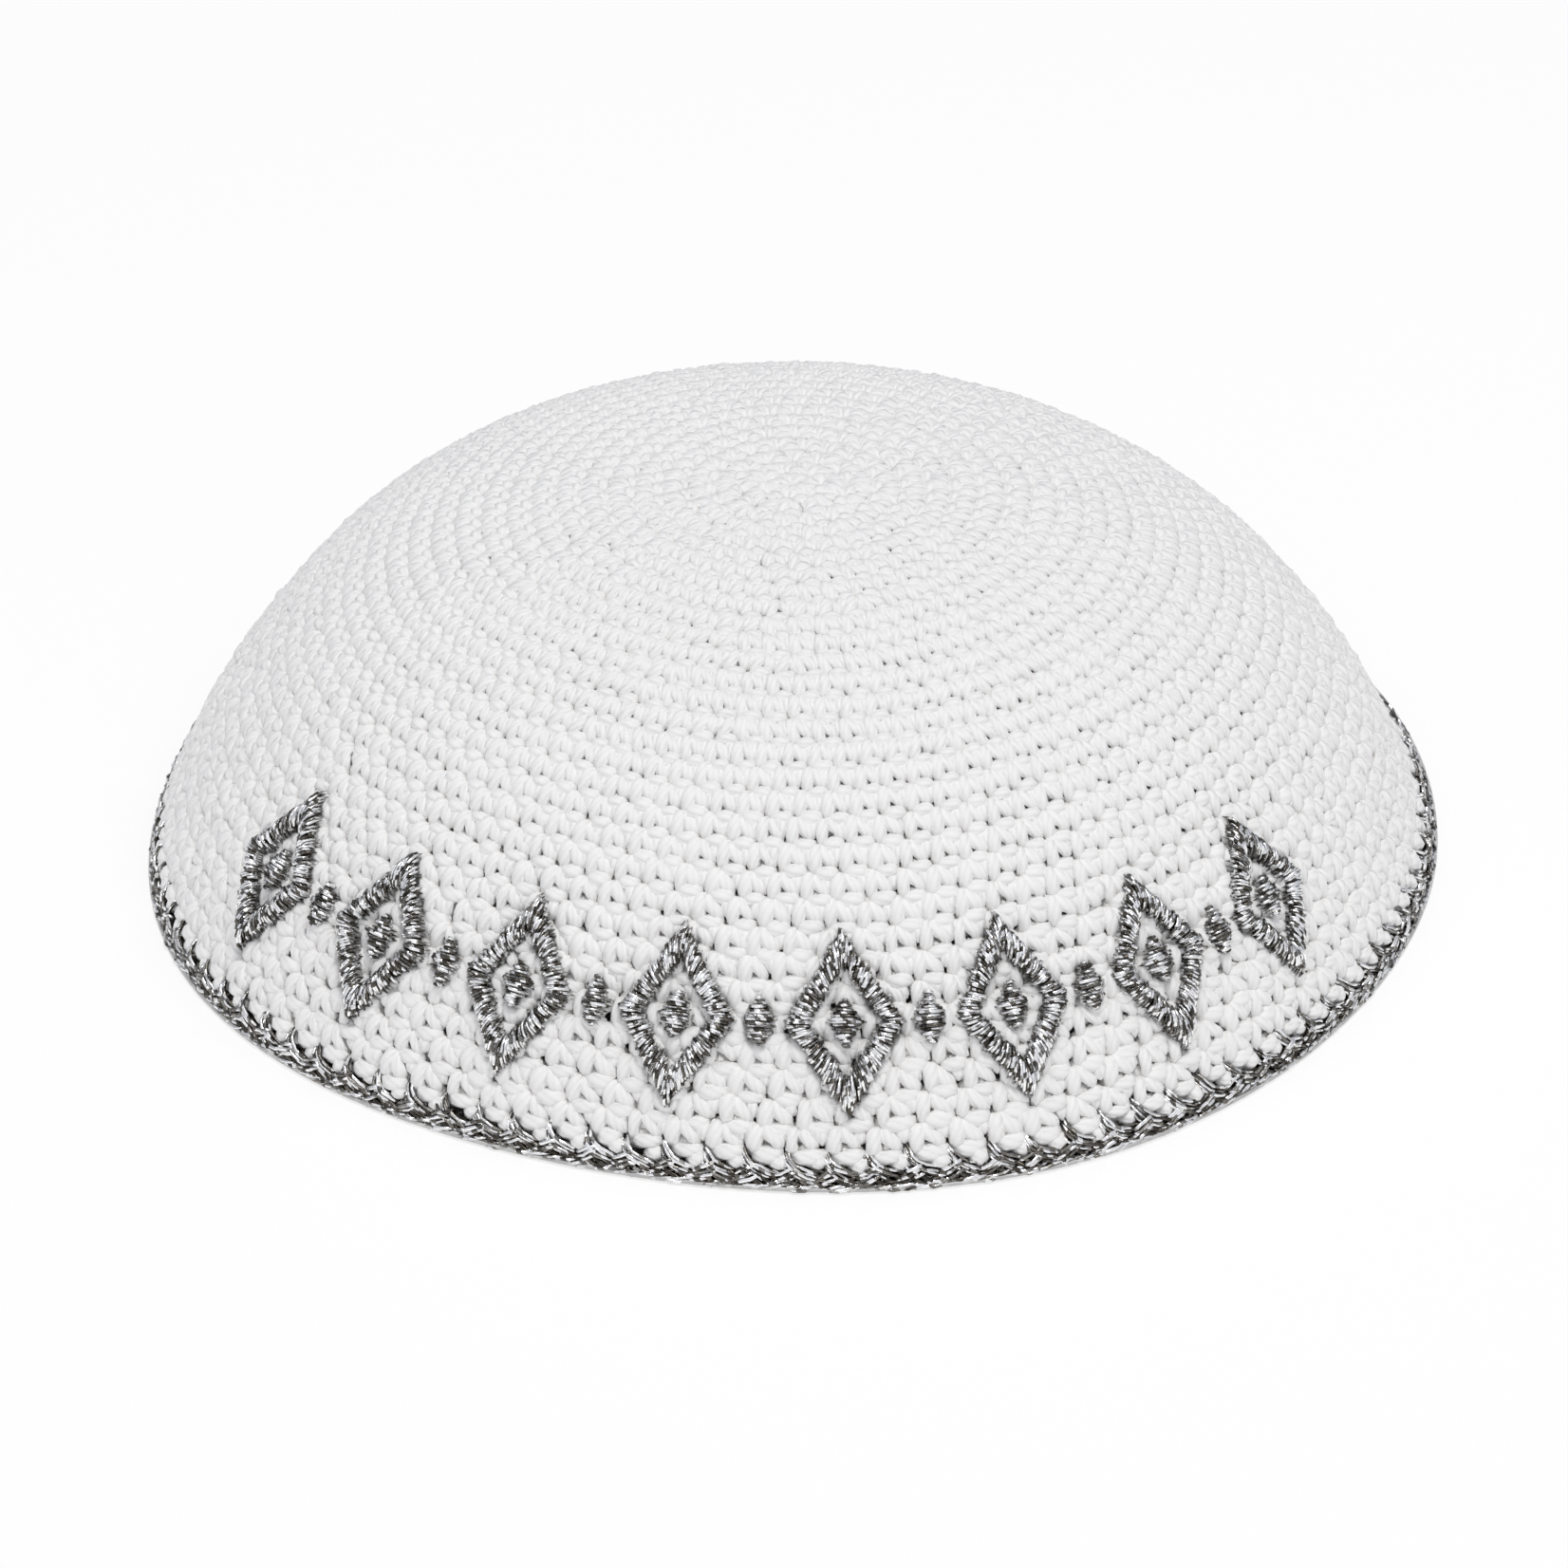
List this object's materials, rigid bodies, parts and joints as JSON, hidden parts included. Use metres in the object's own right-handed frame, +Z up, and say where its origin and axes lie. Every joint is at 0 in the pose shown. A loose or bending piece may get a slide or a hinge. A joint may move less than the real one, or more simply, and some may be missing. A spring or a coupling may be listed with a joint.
{
  "type": "crocheted kippah skullcap",
  "caption": "Round crocheted cotton skullcap: a shallow hollow dome with a metallic yarn edging and a raised silver lozenge band on the front, resting on its rim.",
  "frame": {"origin": "centre of the rim, on the plane the rim rests on", "axes": "+Z up through the middle of the crown, -Y to the front with the embroidered band, +X to the wearer's left"},
  "size_m": [0.1692, 0.1706, 0.0503],
  "materials": {
    "white_cotton": "matte mercerised crochet cotton",
    "metallic_yarn": "dark silver lurex crochet yarn, glittering",
    "silver_thread": "silver metallic embroidery thread, satin stitched"
  },
  "bodies": {
    "root": {"crown": "white_cotton", "edging": "metallic_yarn", "lozenge_1": "silver_thread", "lozenge_2": "silver_thread", "lozenge_3": "silver_thread", "lozenge_4": "silver_thread", "lozenge_5": "silver_thread", "lozenge_6": "silver_thread", "lozenge_7": "silver_thread", "lozenge_8": "silver_thread", "seed_1": "silver_thread", "seed_2": "silver_thread", "seed_3": "silver_thread", "seed_4": "silver_thread", "seed_5": "silver_thread", "seed_6": "silver_thread", "seed_7": "silver_thread", "seed_8": "silver_thread", "diamond_1": "silver_thread", "diamond_2": "silver_thread", "diamond_3": "silver_thread", "diamond_4": "silver_thread", "diamond_5": "silver_thread", "diamond_6": "silver_thread", "diamond_7": "silver_thread"}
  },
  "joints": []
}
